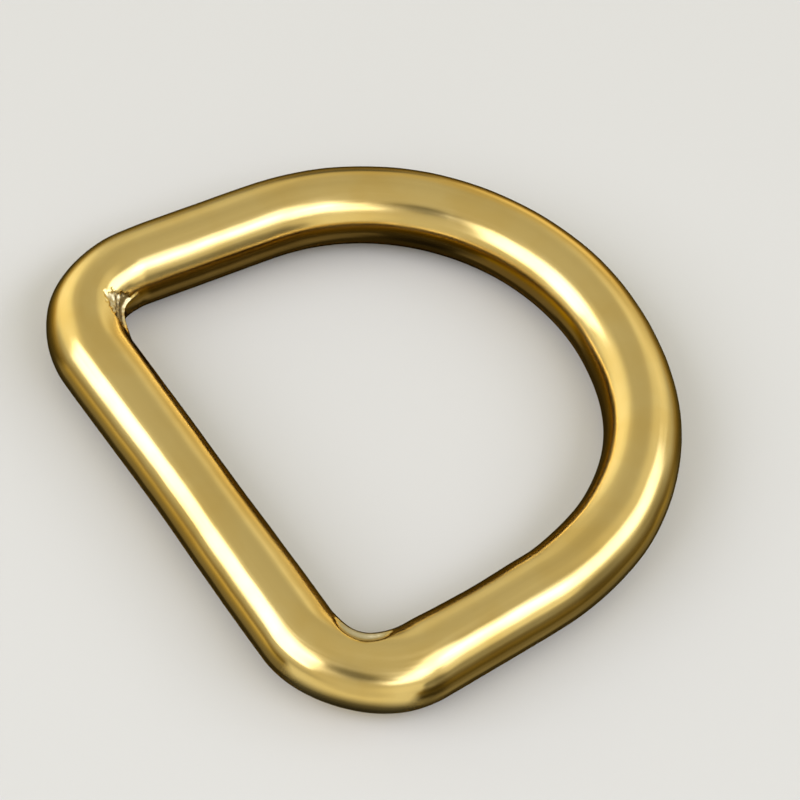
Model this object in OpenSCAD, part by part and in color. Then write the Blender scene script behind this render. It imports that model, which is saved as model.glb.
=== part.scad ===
// Solid cast brass D ring for a flat strap.
// The bar runs along X, the bow rises towards +Y and +Z points up off the table.
// The origin lies under the middle of the ring, on the plane that it rests on.

/* [Opening] */
// Clear width between the arms, beside the bar: the width of strap that fits
strap_w = 25; // [13:0.5:51]
// Inside radius where the bar turns into each arm
inner_corner_r = 2.5; // [0.5:0.1:6]
// Length of the straight part of each arm
arm_l = 8; // [2:0.1:20]
// Lean of each arm towards the other one, in degrees
arm_lean = 4; // [0:0.1:10]

/* [Wire] */
// Diameter of the round wire that the ring is cast as
wire_d = 4.5; // [2:0.1:8]
// Depth of the flat that finishing leaves on the top and on the underside
flat_depth = 0.1; // [0.05:0.01:0.3]

/* [Hidden] */

brass = [0.71, 0.57, 0.31];
// Sides drawn on the wire's own circle, and on the curves that it follows
wire_sides = 40;
path_sides = 120;
// The straight stretches are thinner than the bends by this, all round their wire
seat_step = 0.02;

wire_r = wire_d / 2;
wire_h = wire_d - 2 * flat_depth;

// The wire's centre line, with x from the ring's middle and y from the middle of the bar
arm_x = strap_w / 2 + wire_r;
corner_r = inner_corner_r + wire_r;
corner_x = arm_x - corner_r;
arm_foot = [corner_x + corner_r * cos(arm_lean), corner_r + corner_r * sin(arm_lean)];
arm_head = arm_foot + arm_l * [-sin(arm_lean), cos(arm_lean)];

// The bow is one arc, centred on x = 0, that runs on smoothly from both arms
bow_r = arm_head.x / cos(arm_lean);
bow_y = arm_head.y - bow_r * sin(arm_lean);
mid_y = (bow_y + bow_r) / 2;

// How far a straight stretch reaches into each bend and still lies inside its outer side
seat_l = 0.7 * sqrt(2 * (corner_r + wire_r) * seat_step);

// The wire cut across, with a flat at its top and its underside
module wire_section(diameter) {
    intersection() {
        circle(d = diameter, $fn = wire_sides);
        square([2 * diameter, wire_h], center = true);
    }
}

// A straight stretch along +X from the origin, whose ends are seated in the bends beside it
module straight(length) {
    translate([-seat_l, 0, 0]) rotate([90, 0, 90])
        linear_extrude(height = length + 2 * seat_l) wire_section(wire_d - 2 * seat_step);
}

// A bend round the origin, from one angle and on through its sweep
module bend(radius, start_angle, sweep) {
    rotate_extrude(angle = sweep, start = start_angle, $fn = path_sides)
        translate([radius, 0]) wire_section(wire_d);
}

// The straight bar that the strap folds round
module bar() {
    translate([-corner_x, 0, 0]) straight(2 * corner_x);
}

// The turn from the bar into the arm on the +X side
module corner() {
    translate([corner_x, corner_r, 0]) bend(corner_r, -90, 90 + arm_lean);
}

// The arm on the +X side, which leans in
module arm() {
    translate([arm_foot.x, arm_foot.y, 0]) rotate([0, 0, 90 + arm_lean]) straight(arm_l);
}

// The round bow between the two arms
module bow() {
    translate([0, bow_y, 0]) bend(bow_r, arm_lean, 180 - 2 * arm_lean);
}

// The whole ring, one closed casting that rests on its lower flat
module d_ring() {
    color(brass) translate([0, -mid_y, wire_h / 2]) {
        bar();
        bow();
        for (side = [0, 1]) mirror([side, 0, 0]) {
            corner();
            arm();
        }
    }
}

d_ring();
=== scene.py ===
"""A solid cast brass D ring for a 25 mm strap, dressed and lit on a pale floor."""

import logging
import math
from dataclasses import dataclass, field
from enum import Enum
from typing import ClassVar

import bmesh
import bpy
from mathutils import Matrix, Quaternion, Vector, noise

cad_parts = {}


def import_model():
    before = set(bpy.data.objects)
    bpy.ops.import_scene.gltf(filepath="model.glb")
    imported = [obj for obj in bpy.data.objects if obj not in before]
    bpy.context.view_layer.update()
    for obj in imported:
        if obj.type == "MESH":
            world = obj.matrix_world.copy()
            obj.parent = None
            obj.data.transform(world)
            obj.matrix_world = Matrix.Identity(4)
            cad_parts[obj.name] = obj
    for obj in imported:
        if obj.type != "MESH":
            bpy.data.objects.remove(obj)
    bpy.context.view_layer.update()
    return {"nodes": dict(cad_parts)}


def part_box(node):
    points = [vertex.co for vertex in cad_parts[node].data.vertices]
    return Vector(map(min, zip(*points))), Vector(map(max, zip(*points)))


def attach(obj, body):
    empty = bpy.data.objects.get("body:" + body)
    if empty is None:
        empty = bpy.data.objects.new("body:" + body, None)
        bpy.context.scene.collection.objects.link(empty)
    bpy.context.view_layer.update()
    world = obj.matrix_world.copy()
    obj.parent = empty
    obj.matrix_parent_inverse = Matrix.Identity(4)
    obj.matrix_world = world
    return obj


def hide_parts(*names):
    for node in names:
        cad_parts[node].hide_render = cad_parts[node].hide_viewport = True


LOG = logging.getLogger("d_ring")
MM = 0.001
NODE = "d_ring"

# The sockets of a colour mix, whose names are those of its other kinds too
MIX_FIRST = 6
MIX_SECOND = 7
MIX_RESULT = 2


def fade(distance: float, reach: float) -> float:
    """Gives 1 at no distance, falling smoothly to 0 at the reach and beyond."""
    return math.cos(math.pi / 2 * distance / reach) ** 2 if distance < reach else 0.0


def rise_between(value: float, low: float, high: float) -> float:
    """Gives 0 up to the low value, rising smoothly to 1 at the high one and beyond."""
    share = min(max((value - low) / (high - low), 0.0), 1.0)
    return share * share * (3.0 - 2.0 * share)


def rounded(gap: float, tip: float) -> float:
    """Gives the distance less the tip's, so that it starts off level over the tip."""
    return math.hypot(gap, tip) - tip


def mixed_colour(
    tree: bpy.types.NodeTree,
    share: bpy.types.NodeSocket,
    first: bpy.types.NodeSocket | tuple[float, float, float],
    second: tuple[float, float, float],
) -> bpy.types.NodeSocket:
    """Mixes two colours.

    Args:
        tree: The nodes that it is added to.
        share: How much of the second colour there is.
        first: The first colour, or the socket that gives it.
        second: The second colour.

    Returns:
        The mixed colour.
    """
    mix = tree.nodes.new("ShaderNodeMix")
    mix.data_type = "RGBA"
    mix.inputs[MIX_SECOND].default_value = (*second, 1.0)
    tree.links.new(share, mix.inputs["Factor"])
    if isinstance(first, bpy.types.NodeSocket):
        tree.links.new(first, mix.inputs[MIX_FIRST])
    else:
        mix.inputs[MIX_FIRST].default_value = (*first, 1.0)
    return mix.outputs[MIX_RESULT]


class Stretch(Enum):
    """The stretches that the wire runs through."""

    BAR = "bar"
    CORNER = "corner"
    ARM = "arm"
    BOW = "bow"


@dataclass(frozen=True)
class Station:
    """One place along the middle of the wire.

    Attributes:
        travel: Its distance along the wire from the bar's middle in mm, negative on the far side.
        round_trip: The length of the whole loop.
        centre: The middle of the wire there, in plan.
        out: The direction in plan that points away from the opening.
    """

    travel: float
    round_trip: float
    centre: Vector
    out: Vector

    def gap(self, travel: float) -> float:
        """Gives its distance from another place along the wire, the shorter way round."""
        gap = abs(self.travel - travel)
        return min(gap, self.round_trip - gap)


@dataclass
class WireLine:
    """The line that the middle of the wire follows, in mm, about the middle of the ring.

    Attributes:
        strap_w: Clear width between the arms, beside the bar.
        inner_corner_r: Inside radius where the bar turns into each arm.
        arm_l: Length of the straight part of each arm.
        arm_lean: Lean of each arm towards the other one, in degrees.
        wire_d: Diameter of the wire.
        outline_gaps: Distance between points of the opening's outline, on the bow and in a corner.
        corner_r: Radius of the line in a corner.
        corner_x: How far the middle of that arc lies to one side.
        arm_way: The direction of the near arm, from the bar to the bow.
        bow_r: Radius of the line in the bow.
        bow_y: How far the middle of that arc lies from the bar.
        mid_y: How far the middle of the ring lies from the bar.
        half_runs: The stretches from the bar's middle to the crown, with the length of each.
        half_length: The length of them all.
    """

    strap_w: float = 25.0
    inner_corner_r: float = 2.5
    arm_l: float = 8.0
    arm_lean: float = 4.0
    wire_d: float = 4.5
    outline_gaps: tuple[float, float] = (1.5, 0.5)
    corner_r: float = field(init=False)
    corner_x: float = field(init=False)
    arm_way: Vector = field(init=False)
    bow_r: float = field(init=False)
    bow_y: float = field(init=False)
    mid_y: float = field(init=False)
    half_runs: tuple[tuple[Stretch, float], ...] = field(init=False)
    half_length: float = field(init=False)

    def __post_init__(self) -> None:
        """Works out the arcs and the lengths that the driving sizes give."""
        lean = math.radians(self.arm_lean)
        wire_r = self.wire_d / 2
        self.corner_r = self.inner_corner_r + wire_r
        self.corner_x = self.strap_w / 2 + wire_r - self.corner_r
        foot = self._on_corner(lean)
        self.arm_way = Vector((-math.sin(lean), math.cos(lean)))
        head = foot + self.arm_way * self.arm_l
        self.bow_r = head.x / math.cos(lean)
        self.bow_y = head.y - self.bow_r * math.sin(lean)
        self.mid_y = (self.bow_y + self.bow_r) / 2
        self.half_runs = (
            (Stretch.BAR, self.corner_x),
            (Stretch.CORNER, self.corner_r * (math.pi / 2 + lean)),
            (Stretch.ARM, self.arm_l),
            (Stretch.BOW, self.bow_r * (math.pi / 2 - lean)),
        )
        self.half_length = sum(length for _, length in self.half_runs)

    def _on_corner(self, angle: float) -> Vector:
        """Gives the point of the near corner's arc at an angle from +X, in radians."""
        across = self.corner_r * math.cos(angle)
        return Vector((self.corner_x + across, self.corner_r + self.corner_r * math.sin(angle)))

    def _near_half(self, travel: float) -> tuple[Vector, Vector]:
        """Follows the near half of the ring, from the middle of the bar to the crown.

        Args:
            travel: Distance along the wire from the middle of the bar.

        Returns:
            The point and the outward direction, in plan.
        """
        lean = math.radians(self.arm_lean)
        left = travel
        for stretch, length in self.half_runs:
            if left <= length or stretch is Stretch.BOW:
                break
            left -= length
        if stretch is Stretch.BAR:
            return Vector((left, -self.mid_y)), Vector((0.0, -1.0))
        if stretch is Stretch.CORNER:
            angle = left / self.corner_r - math.pi / 2
            point = self._on_corner(angle)
        elif stretch is Stretch.ARM:
            angle = lean
            point = self._on_corner(lean) + self.arm_way * left
        else:
            angle = lean + left / self.bow_r
            point = Vector((0.0, self.bow_y)) + Vector((math.cos(angle), math.sin(angle))) * self.bow_r
        return point - Vector((0.0, self.mid_y)), Vector((math.cos(angle), math.sin(angle)))

    def opening(self) -> list[tuple[float, float]]:
        """Gives the outline inside the middle of the wire, in metres."""
        return [tuple(place.centre * MM) for place in self.stations(*self.outline_gaps)]

    def stations(self, coarse: float, fine: float) -> list[Station]:
        """Sets places all round the loop, closer together in the corners.

        Args:
            coarse: Distance between places on the bar and the bow, in mm.
            fine: Distance between them in the middle of a corner, in mm.

        Returns:
            The stations, from the crown round the far side, the bar and the near side.
        """
        corner_travel = self.corner_x + self.half_runs[1][1] / 2
        places = []
        travel = -self.half_length
        while travel < self.half_length - fine:
            mirror = Vector((1.0 if travel >= 0 else -1.0, 1.0))
            point, out = self._near_half(abs(travel))
            places.append(Station(travel, 2 * self.half_length, point * mirror, out * mirror))
            off = abs(abs(travel) - corner_travel) / self.corner_r
            travel += fine + (coarse - fine) * min(off, 1.0) ** 2
        return places


@dataclass(frozen=True)
class Swell:
    """A long shallow swell or hollow along one side of the wire, in mm.

    Attributes:
        travel: Where its middle lies, from the bar's middle and negative round the far side.
        reach: How far it runs to each side of its middle.
        rise: How far it stands out of the metal there. A hollow is negative.
    """

    travel: float
    reach: float
    rise: float


@dataclass(frozen=True)
class Mark:
    """A pit, a lump or a worn place in the skin, in mm.

    Attributes:
        travel: Where it lies along the wire, as for a swell.
        turn_deg: Where it lies round the section, from straight out and rising first.
        reach: How far it runs along the wire to each side of its middle.
        spread: How far it runs round the section.
        rise: Its height. A pit is negative.
    """

    travel: float
    turn_deg: float
    reach: float
    spread: float
    rise: float

    def lift(self, place: Station, turn: float, wire_r: float) -> float:
        """Gives how far it lifts a point of the skin.

        Args:
            place: The station along the wire.
            turn: The angle round the section, in radians.
            wire_r: Radius of the wire.

        Returns:
            The lift.
        """
        along = place.gap(self.travel) / self.reach
        round_it = (turn - math.radians(self.turn_deg)) * wire_r / self.spread
        return self.rise * fade(math.hypot(along, round_it), 1.0)


@dataclass(frozen=True)
class Pocket:
    """The hollow inside a corner that polishing hasn't reached.

    Attributes:
        travel: Where the top of its rim lies along the wire, in mm.
        top_deg: Where the top of its rim lies round the section, from straight out and rising first.
        bar_slope: How much further round its rim lies for each mm towards the bar, in degrees.
        arm_slope: The same towards the arm.
        rim_deg: How wide the step at its rim is, in degrees.
        foot_deg: Where it ends round the section, over as wide a step.
        ragged_deg: How far its rim wanders, in degrees.
        reach: How far it runs along the wire to each side, in mm.
        depth: How deep it is, in mm.
        grain: Depth of the grain that the mould leaves on its floor, in mm.
        tip: How far its top is rounded along the wire, in mm.
    """

    # The rim wanders with a noise of this size, on a wire rolled out at this radius, in mm
    RAGGED_PITCH: ClassVar[float] = 0.28
    ROLLED_R: ClassVar[float] = 2.2

    travel: float
    top_deg: float
    bar_slope: float
    arm_slope: float
    rim_deg: float
    foot_deg: float
    ragged_deg: float
    reach: float
    depth: float
    grain: float
    tip: float = 0.0

    def share(self, place: Station, turn: float) -> float:
        """Says how far inside the pocket a point of the skin lies.

        Args:
            place: The station along the wire.
            turn: The angle round the section, in radians.

        Returns:
            0 outside its rim, rising to 1 on its floor.
        """
        along = place.gap(self.travel)
        slope = self.bar_slope if abs(place.travel) < abs(self.travel) else self.arm_slope
        spot = Vector((place.travel, self.ROLLED_R * turn, 0.0)) / self.RAGGED_PITCH
        wander = self.ragged_deg * noise.noise(spot)
        past = math.degrees(turn) - self.top_deg - slope * rounded(along, self.tip) + wander
        under = 1.0 - rise_between(math.degrees(turn), self.foot_deg, self.foot_deg + self.rim_deg)
        within = 1.0 - rise_between(along, self.reach / 2, self.reach)
        return rise_between(past, 0.0, self.rim_deg) * under * within


@dataclass(frozen=True)
class Ridge:
    """A line of flash from the mould's parting, left standing inside a corner, in mm.

    Attributes:
        travel: Where its middle lies along the wire.
        reach: How far it runs to each side.
        turn_deg: Where it lies round the section.
        width: Its width from its crest to its foot.
        height: Its height.
        slope: How much further round it lies for each mm away from its middle, in degrees.
        tip: How far its middle is rounded along the wire, in mm.
    """

    travel: float
    reach: float
    turn_deg: float
    width: float
    height: float
    slope: float = 0.0
    tip: float = 0.0

    def rise(self, place: Station, turn: float, wire_r: float) -> float:
        """Gives how far it lifts a point of the skin.

        Args:
            place: The station along the wire.
            turn: The angle round the section, in radians.
            wire_r: Radius of the wire.

        Returns:
            The lift.
        """
        gap = place.gap(self.travel)
        along = 1.0 - rise_between(gap, self.reach / 2, self.reach)
        crest = math.radians(self.turn_deg + self.slope * rounded(gap, self.tip))
        return self.height * along * fade(abs(turn - crest) * wire_r, self.width)


@dataclass(frozen=True)
class CastShape:
    """How the real casting departs from the plain wire, in mm.

    Attributes:
        inset: How far the whole skin stands inside the plain wire.
        outer: The swells and hollows of the outer side.
        inner: Those of the inner side.
        marks: The small pits and lumps.
        pockets: The rough hollows inside the corners.
        ridges: The flash inside the corners.
        waves: Depth and size of the shallow waves that polishing leaves.
        grain_pitch: Size of the grain in the pockets.
    """

    # How the grain's finer layers follow from its first: their fall, their step and their number
    GRAIN_LAYERS: ClassVar[tuple[float, float, int]] = (1.0, 2.0, 3)

    inset: float = 0.004
    outer: tuple[Swell, ...] = (
        Swell(travel=-1.0, reach=8.0, rise=-0.11),
        Swell(travel=13.4, reach=3.2, rise=-0.18),
        Swell(travel=28.5, reach=4.5, rise=-0.08),
        Swell(travel=44.5, reach=6.0, rise=-0.12),
        Swell(travel=-35.5, reach=5.0, rise=0.09),
        Swell(travel=-27.5, reach=4.0, rise=-0.07),
        Swell(travel=-16.2, reach=3.2, rise=-0.17),
    )
    inner: tuple[Swell, ...] = (
        Swell(travel=13.5, reach=2.8, rise=-0.20),
        Swell(travel=17.6, reach=2.2, rise=0.07),
        Swell(travel=22.0, reach=3.5, rise=-0.10),
        Swell(travel=29.0, reach=3.8, rise=0.09),
        Swell(travel=38.0, reach=6.5, rise=-0.12),
        Swell(travel=-14.2, reach=2.6, rise=-0.18),
    )
    marks: tuple[Mark, ...] = (
        Mark(travel=-14.3, turn_deg=123.0, reach=0.17, spread=0.17, rise=-0.06),
        Mark(travel=-13.4, turn_deg=116.0, reach=0.12, spread=0.30, rise=-0.05),
        Mark(travel=-12.9, turn_deg=133.0, reach=0.25, spread=0.20, rise=0.04),
        Mark(travel=-14.2, turn_deg=143.0, reach=0.22, spread=0.22, rise=0.05),
        Mark(travel=-13.5, turn_deg=150.0, reach=0.20, spread=0.20, rise=-0.05),
        Mark(travel=13.9, turn_deg=66.0, reach=5.6, spread=1.95, rise=-0.23),
        Mark(travel=16.6, turn_deg=32.0, reach=0.28, spread=0.28, rise=0.02),
    )
    pockets: tuple[Pocket, ...] = (
        Pocket(
            travel=-13.6, top_deg=109.0, bar_slope=14.0, arm_slope=26.0, rim_deg=10.0,
            foot_deg=158.0, ragged_deg=9.0, reach=3.0, depth=0.08, grain=0.08,
        ),
        Pocket(
            travel=13.7, top_deg=97.0, bar_slope=14.0, arm_slope=13.0, rim_deg=24.0,
            foot_deg=132.0, ragged_deg=0.5, reach=2.8, depth=0.20, grain=0.015, tip=0.9,
        ),
    )
    ridges: tuple[Ridge, ...] = (
        Ridge(travel=-13.2, reach=3.4, turn_deg=161.0, width=0.15, height=0.13),
        Ridge(travel=13.7, reach=2.8, turn_deg=127.0, width=0.28, height=0.22, slope=7.0, tip=0.9),
    )
    waves: tuple[tuple[float, float], ...] = ((0.060, 5.2), (0.022, 1.9), (0.007, 0.85))
    grain_pitch: float = 0.26

    def side_rise(self, place: Station, outer: bool) -> float:
        """Adds up the swells of one side at a station.

        Args:
            place: The station along the wire.
            outer: True for the outer side, and False for the inner one.

        Returns:
            How far that side stands out of the plain wire there.
        """
        swells = self.outer if outer else self.inner
        return sum(swell.rise * fade(place.gap(swell.travel), swell.reach) for swell in swells)

    def tucked(self, place: Station, turn: float) -> float:
        """Says how far a point lies out of the polisher's reach, from 0 to 1."""
        return max(pocket.share(place, turn) for pocket in self.pockets)

    def lift(self, place: Station, turn: float, point: Vector, wire_r: float) -> float:
        """Adds up the waves, the pockets, their grain, the flash and the marks at a point.

        Args:
            place: The station along the wire.
            turn: The angle round the section, in radians.
            point: The point on the plain wire.
            wire_r: Radius of the wire.

        Returns:
            How far the skin rises there.
        """
        total = sum(depth * (noise.noise(point / pitch) - 1.0) / 2 for depth, pitch in self.waves)
        for pocket in self.pockets:
            share = pocket.share(place, turn)
            if share:
                grain = pocket.grain * noise.fractal(point / self.grain_pitch, *self.GRAIN_LAYERS) / 2
                total += share * (grain - pocket.depth)
        total += sum(ridge.rise(place, turn, wire_r) for ridge in self.ridges)
        return total + sum(mark.lift(place, turn, wire_r) for mark in self.marks)


@dataclass
class BrassRing:
    """The ring as one skin round the wire.

    Attributes:
        line: The line that the wire follows.
        shape: How the casting departs from the plain wire.
        wire_h: Height of the wire over its two flats, in mm.
        gaps: Distance between sections on the bow and in a corner, in mm.
        steps_deg: Angle between points round a section, and between those of the inner side.
        fine_deg: From where to where round the section they are closer together.
        rim_power: How much sharper a pocket's dull finish ends at its rim than its depth does.
    """

    line: WireLine
    shape: CastShape
    wire_h: float = 4.3
    gaps: tuple[float, float] = (0.18, 0.08)
    steps_deg: tuple[float, float] = (4.5, 1.8)
    fine_deg: tuple[float, float] = (90.0, 190.0)
    rim_power: int = 4

    def _turns(self) -> list[float]:
        """Sets the points round a section, closer together on its inner side.

        Returns:
            Their angles in radians.
        """
        coarse, fine = self.steps_deg
        low, high = self.fine_deg
        turns = []
        turn = 0.0
        while turn < 360.0 - fine:
            turns.append(math.radians(turn))
            turn += fine if low <= turn < high else coarse
        return turns

    def _skin_point(self, place: Station, turn: float) -> Vector:
        """Gives one point of the skin.

        Args:
            place: The station along the wire.
            turn: The angle round the section, in radians from straight out, rising first.

        Returns:
            The point in mm, with z from the plane that the ring rests on.
        """
        shape, wire_r = self.shape, self.line.wire_d / 2
        across, rise = math.cos(turn), math.sin(turn)
        half_w = wire_r - shape.inset + shape.side_rise(place, across > 0)
        half_h = self.wire_h / 2
        flat = place.centre + place.out * (across * half_w)
        point = Vector((flat.x, flat.y, half_h + rise * half_h))
        normal = Vector((place.out.x * across, place.out.y * across, rise))
        upper = 1.0 + min(rise, 0.0)
        return point + normal * (shape.lift(place, turn, point, wire_r) * upper)

    def _sections(self, mesh: bmesh.types.BMesh) -> list[list[bmesh.types.BMVert]]:
        """Adds the points of every section, with what the finish needs to know of each.

        Args:
            mesh: The mesh that takes them.

        Returns:
            The points of each section in turn.
        """
        tucked = mesh.verts.layers.float.new(PolishedBrass.TUCKED)
        flow = mesh.verts.layers.float_vector.new(PolishedBrass.FLOW)
        flow_w = mesh.verts.layers.float.new(PolishedBrass.FLOW_W)
        turns = self._turns()
        loops = []
        for place in self.line.stations(*self.gaps):
            way = math.pi * place.travel / self.line.half_length
            loop = []
            for turn in turns:
                vert = mesh.verts.new(self._skin_point(place, turn) * MM)
                vert[tucked] = self.shape.tucked(place, turn) ** self.rim_power
                vert[flow] = Vector((math.cos(way), math.sin(way), 0.0)) * PolishedBrass.LINES_ALONG
                vert[flow].z = math.cos(turn) * PolishedBrass.LINES_ROUND
                vert[flow_w] = math.sin(turn) * PolishedBrass.LINES_ROUND
                loop.append(vert)
            loops.append(loop)
        return loops

    def build(self) -> bpy.types.Object:
        """Makes the mesh and its object.

        Returns:
            The ring, with smooth faces, in metres and in the frame's own place.
        """
        mesh = bmesh.new()
        loops = self._sections(mesh)
        for here, there in zip(loops, loops[1:] + loops[:1]):
            for k in range(len(here)):
                n = (k + 1) % len(here)
                face = mesh.faces.new((here[k], there[k], there[n], here[n]))
                face.smooth = True
        bmesh.ops.recalc_face_normals(mesh, faces=mesh.faces)
        data = bpy.data.meshes.new("ring_body")
        mesh.to_mesh(data)
        mesh.free()
        ring = bpy.data.objects.new("ring_body", data)
        bpy.context.scene.collection.objects.link(ring)
        return ring

    def place(self, finish: "PolishedBrass") -> bpy.types.Object:
        """Builds the ring, dresses it and puts it on the frame.

        Args:
            finish: The finish of the metal.

        Returns:
            The finished ring.
        """
        ring = self.build()
        ring.data.materials.append(finish.material())
        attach(ring, "root")
        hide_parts(NODE)
        return ring


@dataclass(frozen=True)
class PolishedBrass:
    """Cast brass, tumbled to a soft gloss, with the mould's grain left inside the corners.

    Attributes:
        metal: Colour of the polished metal, linear.
        warm: Its colour where it has warmed with age.
        edge: Its tint where it is seen at a glance.
        dull: Its colour where tumbling hasn't reached.
        gloss: Lowest and highest roughness of the polished metal.
        dull_roughness: Roughness where tumbling hasn't reached.
        lacquer: How much of the skin a thin clear lacquer covers.
        lacquer_roughness: Roughness of the lacquer.
        cloud_pitch: Size of the clouds of warmer metal, in metres.
        cloud_layers: How many finer layers they have.
        cloud_span: Where in their range the metal starts to warm, and where it is warm.
        line_depth: Depth of the polishing lines, in metres.
        line_layers: How many finer layers they have.
        line_span: Where in their range the roughness starts to rise, and where it is at its highest.
        grain_depth: Depth of the fine grain inside the corners, in metres.
        grain_pitch: Size of that grain, in metres.
        grain_layers: How many finer layers it has.
    """

    # What the skin keeps at each point: how dull it is, and its place in the polishing lines' noise
    TUCKED: ClassVar[str] = "tucked"
    FLOW: ClassVar[str] = "flow"
    FLOW_W: ClassVar[str] = "flow_w"
    # How many polishing lines there are round the loop and round the section, as the noise's reach
    LINES_ALONG: ClassVar[float] = 1.6
    LINES_ROUND: ClassVar[float] = 10.0

    metal: tuple[float, float, float] = (0.86, 0.68, 0.335)
    warm: tuple[float, float, float] = (0.82, 0.615, 0.255)
    edge: tuple[float, float, float] = (1.0, 0.93, 0.75)
    dull: tuple[float, float, float] = (0.66, 0.59, 0.43)
    gloss: tuple[float, float] = (0.12, 0.25)
    dull_roughness: float = 0.36
    lacquer: float = 0.12
    lacquer_roughness: float = 0.08
    cloud_pitch: float = 0.004
    cloud_layers: float = 3.0
    cloud_span: tuple[float, float] = (0.42, 0.68)
    line_depth: float = 2.0e-6
    line_layers: float = 4.0
    line_span: tuple[float, float] = (0.3, 0.7)
    grain_depth: float = 1.5e-5
    grain_pitch: float = 0.00025
    grain_layers: float = 4.0

    def material(self) -> bpy.types.Material:
        """Makes the material of the finish.

        Returns:
            A metal whose colour, roughness and bump follow the skin's own marks.
        """
        material = bpy.data.materials.new("polished_brass")
        material.use_nodes = True
        tree = material.node_tree
        shader = tree.nodes["Principled BSDF"]
        shader.inputs["Metallic"].default_value = 1.0
        shader.inputs["Specular Tint"].default_value = (*self.edge, 1.0)
        shader.inputs["Coat Weight"].default_value = self.lacquer
        shader.inputs["Coat Roughness"].default_value = self.lacquer_roughness
        tucked = self._attribute(tree, self.TUCKED).outputs["Fac"]
        clouds = self._noise(tree, 1.0 / self.cloud_pitch, self.cloud_layers)
        lines = self._polish_lines(tree)
        aged = mixed_colour(tree, self._ranged(tree, clouds, *self.cloud_span), self.metal, self.warm)
        tree.links.new(mixed_colour(tree, tucked, aged, self.dull), shader.inputs["Base Color"])
        gloss = self._ranged(tree, lines, *self.line_span, *self.gloss)
        rough = tree.nodes.new("ShaderNodeMix")
        rough.inputs["B"].default_value = self.dull_roughness
        tree.links.new(tucked, rough.inputs["Factor"])
        tree.links.new(gloss, rough.inputs["A"])
        tree.links.new(rough.outputs["Result"], shader.inputs["Roughness"])
        self._bumps(tree, lines, tucked, shader)
        return material

    def _bumps(
        self,
        tree: bpy.types.NodeTree,
        lines: bpy.types.NodeSocket,
        tucked: bpy.types.NodeSocket,
        shader: bpy.types.Node,
    ) -> None:
        """Adds the polishing lines and the corners' fine grain as bump.

        Args:
            tree: The material's nodes.
            lines: The strength of the polishing lines.
            tucked: How far each point is out of tumbling's reach.
            shader: The shader that takes the bump.
        """
        line_bump = tree.nodes.new("ShaderNodeBump")
        line_bump.inputs["Distance"].default_value = self.line_depth
        grain_bump = tree.nodes.new("ShaderNodeBump")
        grain_bump.inputs["Distance"].default_value = self.grain_depth
        grain = self._noise(tree, 1.0 / self.grain_pitch, self.grain_layers)
        tree.links.new(lines, line_bump.inputs["Height"])
        tree.links.new(grain, grain_bump.inputs["Height"])
        tree.links.new(tucked, grain_bump.inputs["Strength"])
        tree.links.new(line_bump.outputs["Normal"], grain_bump.inputs["Normal"])
        tree.links.new(grain_bump.outputs["Normal"], shader.inputs["Normal"])

    def _polish_lines(self, tree: bpy.types.NodeTree) -> bpy.types.NodeSocket:
        """Makes the lines that polishing leaves along the wire, with no seam in them.

        Args:
            tree: The material's nodes.

        Returns:
            The strength of the lines.
        """
        lines = tree.nodes.new("ShaderNodeTexNoise")
        lines.noise_dimensions = "4D"
        lines.inputs["Scale"].default_value = 1.0
        lines.inputs["Detail"].default_value = self.line_layers
        tree.links.new(self._attribute(tree, self.FLOW).outputs["Vector"], lines.inputs["Vector"])
        tree.links.new(self._attribute(tree, self.FLOW_W).outputs["Fac"], lines.inputs["W"])
        return lines.outputs["Fac"]

    @staticmethod
    def _attribute(tree: bpy.types.NodeTree, name: str) -> bpy.types.Node:
        """Reads one of the skin's own values.

        Args:
            tree: The material's nodes.
            name: The name of the value.

        Returns:
            The node that gives it.
        """
        node = tree.nodes.new("ShaderNodeAttribute")
        node.attribute_name = name
        return node

    @staticmethod
    def _noise(tree: bpy.types.NodeTree, scale: float, detail: float) -> bpy.types.NodeSocket:
        """Makes a cloudy value that stays with the metal.

        Args:
            tree: The material's nodes.
            scale: Clouds to the metre.
            detail: How many finer layers it has.

        Returns:
            The value.
        """
        place = tree.nodes.new("ShaderNodeTexCoord")
        clouds = tree.nodes.new("ShaderNodeTexNoise")
        clouds.inputs["Scale"].default_value = scale
        clouds.inputs["Detail"].default_value = detail
        tree.links.new(place.outputs["Object"], clouds.inputs["Vector"])
        return clouds.outputs["Fac"]

    @staticmethod
    def _ranged(
        tree: bpy.types.NodeTree,
        value: bpy.types.NodeSocket,
        low: float,
        high: float,
        to_low: float = 0.0,
        to_high: float = 1.0,
    ) -> bpy.types.NodeSocket:
        """Stretches a range of a value to another range.

        Args:
            tree: The material's nodes.
            value: The value to stretch.
            low: Its value that becomes the new lowest one.
            high: Its value that becomes the new highest one.
            to_low: The new lowest value.
            to_high: The new highest value.

        Returns:
            The stretched value.
        """
        node = tree.nodes.new("ShaderNodeMapRange")
        names = ("From Min", "From Max", "To Min", "To Max")
        for name, number in zip(names, (low, high, to_low, to_high)):
            node.inputs[name].default_value = number
        tree.links.new(value, node.inputs["Value"])
        return node.outputs["Result"]


def towards(azimuth_deg: float, zenith_deg: float) -> Vector:
    """Gives the unit direction at an azimuth from +X and a zenith angle from +Z.

    Args:
        azimuth_deg: Angle in plan from +X towards +Y.
        zenith_deg: Angle down from straight up.

    Returns:
        The direction.
    """
    azimuth, zenith = math.radians(azimuth_deg), math.radians(zenith_deg)
    flat = math.sin(zenith)
    return Vector((flat * math.cos(azimuth), flat * math.sin(azimuth), math.cos(zenith)))


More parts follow.
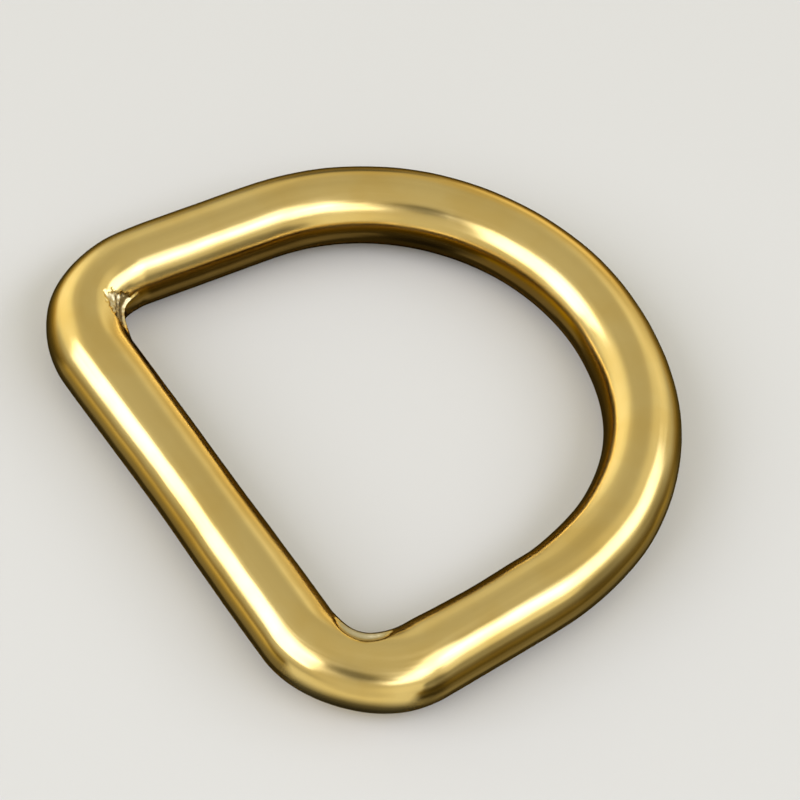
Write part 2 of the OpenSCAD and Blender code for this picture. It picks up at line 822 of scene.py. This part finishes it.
@dataclass(frozen=True)
class SoftBox:
    """One soft box that faces the ring.

    Attributes:
        name: Its name.
        azimuth_deg: Where it stands, as an angle from +X towards +Y.
        zenith_deg: Its angle down from straight up.
        wide_deg: The angle that its width fills, seen from the ring.
        high_deg: The angle that its height fills.
        radiance: How bright the middle of its face is.
        lean_deg: Its turn in its own plane. Its side of greater azimuth rises first.
        soft: The share of its width and height over which its edge fades in.
        distance: How far off it stands, in metres.
    """

    # The middle of the face, as a share of its width or height
    MIDDLE: ClassVar[float] = 0.5

    name: str
    azimuth_deg: float
    zenith_deg: float
    wide_deg: float
    high_deg: float
    radiance: float
    lean_deg: float = 0.0
    soft: float = 0.2
    distance: float = 0.6

    def _across(self, angle_deg: float) -> float:
        """Gives the size in metres that fills an angle, seen from the ring."""
        return 2 * self.distance * math.tan(math.radians(angle_deg / 2))

    def build(self) -> bpy.types.Object:
        """Makes the light and turns it to the ring.

        Returns:
            The light.
        """
        lamp = bpy.data.lights.new(self.name, "AREA")
        lamp.shape = "RECTANGLE"
        lamp.size = self._across(self.wide_deg)
        lamp.size_y = self._across(self.high_deg)
        lamp.energy = self.radiance * math.pi * lamp.size * lamp.size_y
        light = bpy.data.objects.new(self.name, lamp)
        way = towards(self.azimuth_deg, self.zenith_deg)
        light.location = way * self.distance
        light.rotation_mode = "QUATERNION"
        lean = Quaternion((0.0, 0.0, 1.0), math.radians(self.lean_deg))
        light.rotation_quaternion = way.to_track_quat("Z", "Y") @ lean
        light.visible_camera = False
        self._fade_edges(lamp)
        bpy.context.scene.collection.objects.link(light)
        return light

    def _fade_edges(self, lamp: bpy.types.AreaLight) -> None:
        """Lets the face fade in from its edges.

        Args:
            lamp: The light's own data.
        """
        lamp.use_nodes = True
        nodes, links = lamp.node_tree.nodes, lamp.node_tree.links
        split = nodes.new("ShaderNodeSeparateXYZ")
        links.new(nodes.new("ShaderNodeNewGeometry").outputs["Parametric"], split.inputs["Vector"])
        both = nodes.new("ShaderNodeMath")
        both.operation = "MULTIPLY"
        for k, axis in enumerate("XY"):
            inward = nodes.new("ShaderNodeMath")
            inward.operation = "PINGPONG"
            inward.inputs[1].default_value = self.MIDDLE
            edge = nodes.new("ShaderNodeMapRange")
            edge.interpolation_type = "SMOOTHSTEP"
            edge.inputs["From Max"].default_value = self.soft
            links.new(split.outputs[axis], inward.inputs[0])
            links.new(inward.outputs[0], edge.inputs["Value"])
            links.new(edge.outputs["Result"], both.inputs[k])
        links.new(both.outputs[0], nodes["Emission"].inputs["Strength"])


@dataclass(frozen=True)
class Glow:
    """A soft round patch of the room that is brighter or darker than the rest.

    Attributes:
        azimuth_deg: Where its middle lies, as an angle from +X towards +Y.
        zenith_deg: The angle of its middle down from straight up.
        reach_deg: The angle from its middle at which it has faded out.
        radiance: How bright its middle is.
        tint: Its colour, on top of the room's own.
    """

    azimuth_deg: float
    zenith_deg: float
    reach_deg: float
    radiance: float
    tint: tuple[float, float, float] = (1.0, 1.0, 1.0)

    def colour(self, room: tuple[float, float, float]) -> tuple[float, float, float]:
        """Gives the colour of its middle, in a room of the given tint."""
        return tuple(self.radiance * part * whole for part, whole in zip(self.tint, room))


@dataclass(frozen=True)
class Studio:
    """The pale floor, the dark mirrors that paint dark reflections into the ring, the room's light and
    the soft boxes.

    Attributes:
        boxes: The soft boxes.
        glows: The brighter and darker patches of the room.
        floor_r: Half the floor's width, in metres.
        floor_tone: The floor's pale colour, which makes up for the warmth of the room.
        floor_roughness: How dull the floor is.
        sheet: What the dark sheet under the ring mirrors, seen from straight above. It is seen
        only in the ring's own reflections, where it stands in for the floor and paints dark
        reflections into the ring's lower sides.
        sheet_edge: Its tint where it is seen at a glance.
        sheet_roughness: How dull it is.
        sheet_depth: How far below the floor's level it lies, in metres.
        inner: What a second, darker sheet mirrors, in the opening: painted shade in the ring's
            reflections there.
        inner_edge: Its tint where it is seen at a glance.
        inner_depth: How far below the floor's level it lies, in metres.
        notch: Where both sheets start to fade out in plan, in metres. The near corner reflects
            the pale room there.
        notch_soft: Over what distance they fade out, in metres.
        room_tint: The colour of the room's light.
        room: The room's brightness at zenith angles in degrees, from straight down to straight up.
    """

    boxes: tuple[SoftBox, ...] = (
        SoftBox(
            name="left_box", azimuth_deg=257.5, zenith_deg=52.0, wide_deg=58.0, high_deg=45.0,
            radiance=2.6, lean_deg=18.0, soft=0.16,
        ),
        SoftBox(
            name="right_box", azimuth_deg=30.0, zenith_deg=36.0, wide_deg=32.0, high_deg=32.0,
            radiance=1.6, lean_deg=6.0, soft=0.28,
        ),
        SoftBox(
            name="low_box", azimuth_deg=59.0, zenith_deg=51.5, wide_deg=60.0, high_deg=33.0,
            radiance=2.1, lean_deg=-20.0, soft=0.24,
        ),
        SoftBox(
            name="end_box", azimuth_deg=4.0, zenith_deg=41.0, wide_deg=24.0, high_deg=26.0,
            radiance=2.2, lean_deg=0.0, soft=0.25,
        ),
        SoftBox(
            name="start_box", azimuth_deg=344.0, zenith_deg=45.0, wide_deg=15.0, high_deg=13.0,
            radiance=2.4, lean_deg=0.0, soft=0.35,
        ),
    )
    glows: tuple[Glow, ...] = (
        Glow(azimuth_deg=212.0, zenith_deg=62.0, reach_deg=28.0, radiance=1.05),
        Glow(azimuth_deg=190.0, zenith_deg=82.0, reach_deg=30.0, radiance=1.20),
        Glow(azimuth_deg=112.0, zenith_deg=69.0, reach_deg=25.0, radiance=0.95),
        Glow(azimuth_deg=96.0, zenith_deg=46.0, reach_deg=20.0, radiance=0.78),
        Glow(azimuth_deg=156.0, zenith_deg=68.0, reach_deg=16.0, radiance=0.68),
        Glow(azimuth_deg=137.0, zenith_deg=60.0, reach_deg=15.0, radiance=0.50),
        Glow(azimuth_deg=128.0, zenith_deg=84.0, reach_deg=30.0, radiance=0.54, tint=(1.0, 0.88, 0.60)),
        Glow(azimuth_deg=124.0, zenith_deg=88.0, reach_deg=14.0, radiance=1.00, tint=(1.0, 0.86, 0.58)),
        Glow(azimuth_deg=146.0, zenith_deg=93.0, reach_deg=14.0, radiance=0.10),
        Glow(azimuth_deg=350.0, zenith_deg=78.0, reach_deg=30.0, radiance=0.86),
        Glow(azimuth_deg=17.0, zenith_deg=80.0, reach_deg=16.0, radiance=0.18),
        Glow(azimuth_deg=42.0, zenith_deg=85.0, reach_deg=18.0, radiance=0.22),
        Glow(azimuth_deg=33.0, zenith_deg=68.0, reach_deg=11.0, radiance=0.95),
        Glow(azimuth_deg=66.0, zenith_deg=86.0, reach_deg=18.0, radiance=0.28),
        Glow(azimuth_deg=317.0, zenith_deg=90.0, reach_deg=28.0, radiance=0.66),
        Glow(azimuth_deg=316.0, zenith_deg=33.0, reach_deg=14.5, radiance=0.14),
    )
    floor_r: float = 3.0
    floor_tone: tuple[float, float, float] = (0.67, 0.695, 0.81)
    floor_roughness: float = 0.7
    # Painted reflection: a dark mirror that only the ring's reflections see, in place of the pale floor
    sheet: tuple[float, float, float] = (0.058, 0.049, 0.026)
    sheet_edge: tuple[float, float, float] = (1.0, 0.86, 0.55)
    sheet_roughness: float = 0.03
    sheet_depth: float = 0.0001
    # Painted shade: the opening's sheet is darker, so the ring's inner sides reflect darker
    inner: tuple[float, float, float] = (0.045, 0.035, 0.017)
    inner_edge: tuple[float, float, float] = (0.75, 0.60, 0.35)
    inner_depth: float = 0.00005
    notch: tuple[float, float] = (0.0112, -0.0092)
    notch_soft: float = 0.0016
    room_tint: tuple[float, float, float] = (1.01, 0.92, 0.59)
    room: tuple[tuple[float, float], ...] = (
        (180.0, 0.02),
        (147.0, 0.12),
        (138.0, 0.34),
        (130.0, 0.56),
        (122.0, 0.76),
        (112.0, 0.82),
        (96.0, 0.72),
        (90.0, 0.44),
        (84.0, 0.52),
        (74.0, 0.64),
        (60.0, 0.60),
        (40.0, 0.50),
        (0.0, 0.56),
    )

    def build(self, opening: list[tuple[float, float]]) -> None:
        """Makes the floor, the dark sheets that paint the ring's dark reflections, the room's light and
        the boxes.

        Args:
            opening: The outline of the sheet in the opening, in metres.
        """
        far = self.floor_r
        square = [(-far, -far), (far, -far), (far, far), (-far, far)]
        floor = self._level("floor", square, self.floor_tone, self.floor_roughness, 0.0)
        # The floor is hidden from reflections; the dark sheets below it, seen only in reflections,
        # paint dark reflections into the ring's lower sides instead
        floor.visible_glossy = False
        for name, outline, mirror, edge, depth in (
            ("dark_reflection_sheet", square, self.sheet, self.sheet_edge, self.sheet_depth),
            ("shaded_reflection_sheet", opening, self.inner, self.inner_edge, self.inner_depth),
        ):
            sheet = self._level(name, outline, mirror, self.sheet_roughness, 1.0, edge)
            sheet.location.z = -depth
            sheet.visible_camera = False
            sheet.visible_diffuse = False
            sheet.visible_shadow = False
            self._fade_corner(sheet)
        self._room_light()
        for box in self.boxes:
            box.build()

    def _fade_corner(self, sheet: bpy.types.Object) -> None:
        """Lets a sheet fade out in front of the near corner, where its painted dark reflection gives
        way to the pale room.

        Args:
            sheet: The sheet.
        """
        tree = sheet.data.materials[0].node_tree
        split = tree.nodes.new("ShaderNodeSeparateXYZ")
        there = tree.nodes.new("ShaderNodeMath")
        there.operation = "MAXIMUM"
        tree.links.new(tree.nodes.new("ShaderNodeTexCoord").outputs["Object"], split.inputs["Vector"])
        x, y = self.notch
        spans = ((x + self.notch_soft, x), (y - self.notch_soft, y))
        for k, (gone, whole) in enumerate(spans):
            edge = tree.nodes.new("ShaderNodeMapRange")
            edge.inputs["From Min"].default_value = gone
            edge.inputs["From Max"].default_value = whole
            tree.links.new(split.outputs[k], edge.inputs["Value"])
            tree.links.new(edge.outputs["Result"], there.inputs[k])
        tree.links.new(there.outputs[0], tree.nodes["Principled BSDF"].inputs["Alpha"])

    @staticmethod
    def _level(
        name: str,
        outline: list[tuple[float, float]],
        colour: tuple[float, float, float],
        roughness: float,
        metallic: float,
        edge: tuple[float, float, float] = (1.0, 1.0, 1.0),
    ) -> bpy.types.Object:
        """Makes a level surface.

        Args:
            name: Its name.
            outline: Its corners in plan, in metres.
            colour: Its colour.
            roughness: How dull it is.
            metallic: 1 where its colour is that of what it mirrors, and else 0.
            edge: Its tint where it is seen at a glance.

        Returns:
            The surface.
        """
        mesh = bmesh.new()
        mesh.faces.new([mesh.verts.new((x, y, 0.0)) for x, y in outline])
        data = bpy.data.meshes.new(name)
        mesh.to_mesh(data)
        mesh.free()
        level = bpy.data.objects.new(name, data)
        material = bpy.data.materials.new(name)
        material.use_nodes = True
        shader = material.node_tree.nodes["Principled BSDF"]
        shader.inputs["Base Color"].default_value = (*colour, 1.0)
        shader.inputs["Roughness"].default_value = roughness
        shader.inputs["Metallic"].default_value = metallic
        shader.inputs["Specular Tint"].default_value = (*edge, 1.0)
        data.materials.append(material)
        bpy.context.scene.collection.objects.link(level)
        return level

    def _room_light(self) -> None:
        """Makes the room's light from its tone at each height and its glows."""
        world = bpy.data.worlds.new("room")
        bpy.context.scene.world = world
        world.use_nodes = True
        nodes, links = world.node_tree.nodes, world.node_tree.links
        way = nodes.new("ShaderNodeTexCoord").outputs["Generated"]
        split = nodes.new("ShaderNodeSeparateXYZ")
        height = nodes.new("ShaderNodeMapRange")
        height.inputs["From Min"].default_value = -1.0
        ramp = nodes.new("ShaderNodeValToRGB")
        links.new(way, split.inputs["Vector"])
        links.new(split.outputs["Z"], height.inputs["Value"])
        links.new(height.outputs["Result"], ramp.inputs["Fac"])
        stops = ramp.color_ramp.elements
        while len(stops) < len(self.room):
            stops.new(0.5)
        for stop, (zenith_deg, brightness) in zip(stops, self.room):
            stop.position = (math.cos(math.radians(zenith_deg)) + 1) / 2
            stop.color = (*(brightness * part for part in self.room_tint), 1.0)
        tone = ramp.outputs["Color"]
        for glow in self.glows:
            near = nodes.new("ShaderNodeVectorMath")
            near.operation = "DOT_PRODUCT"
            near.inputs[1].default_value = towards(glow.azimuth_deg, glow.zenith_deg)
            share = nodes.new("ShaderNodeMapRange")
            share.interpolation_type = "SMOOTHSTEP"
            share.inputs["From Min"].default_value = math.cos(math.radians(glow.reach_deg))
            links.new(way, near.inputs[0])
            links.new(near.outputs["Value"], share.inputs["Value"])
            middle = glow.colour(self.room_tint)
            tone = mixed_colour(world.node_tree, share.outputs["Result"], tone, middle)
        links.new(tone, nodes["Background"].inputs["Color"])


@dataclass(frozen=True)
class RingCamera:
    """The camera, at the photograph's place and closer in.

    Attributes:
        azimuth_deg: Its bearing, 0 looking along +Y and 90 along -X.
        elevation_deg: Its angle above the horizon.
        distance: Its distance from the middle of the ring, in metres.
        roll_deg: Its turn about its own line of sight.
        lens_mm: Its focal length.
    """

    # The width of its sensor
    SENSOR_MM: ClassVar[float] = 36.0
    # The nearest and the furthest that it sees, in metres
    CLIP: ClassVar[tuple[float, float]] = (0.01, 20.0)

    azimuth_deg: float = 47.35
    elevation_deg: float = 52.86
    distance: float = 0.2161
    roll_deg: float = 11.43
    lens_mm: float = 178.2

    def build(self) -> bpy.types.Object:
        """Makes the camera and hands it to the scene.

        Returns:
            The camera.
        """
        low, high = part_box(NODE)
        data = bpy.data.cameras.new("camera")
        data.lens = self.lens_mm
        data.sensor_width = self.SENSOR_MM
        data.clip_start, data.clip_end = self.CLIP
        camera = bpy.data.objects.new("camera", data)
        back = towards(self.azimuth_deg - 90.0, 90.0 - self.elevation_deg)
        roll = Matrix.Rotation(math.radians(self.roll_deg), 4, "Z")
        turn = back.to_track_quat("Z", "Y").to_matrix().to_4x4() @ roll
        camera.matrix_world = Matrix.Translation((low + high) / 2 + back * self.distance) @ turn
        bpy.context.scene.collection.objects.link(camera)
        bpy.context.scene.camera = camera
        return camera


def main() -> None:
    """Builds the ring, its floor, its lights and the camera."""
    logging.basicConfig(level=logging.INFO, format="%(name)s: %(message)s")
    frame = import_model()
    LOG.info("frame: %s", ", ".join(sorted(frame["nodes"])))
    line = WireLine()
    ring = BrassRing(line, CastShape()).place(PolishedBrass())
    LOG.info("%s: %d faces", ring.name, len(ring.data.polygons))
    studio = Studio()
    studio.build(line.opening())
    LOG.info("studio: %d soft boxes and %d glows", len(studio.boxes), len(studio.glows))
    RingCamera().build()
    bpy.context.scene.view_settings.view_transform = "Standard"
    bpy.context.view_layer.update()


if __name__ == "__main__":
    main()
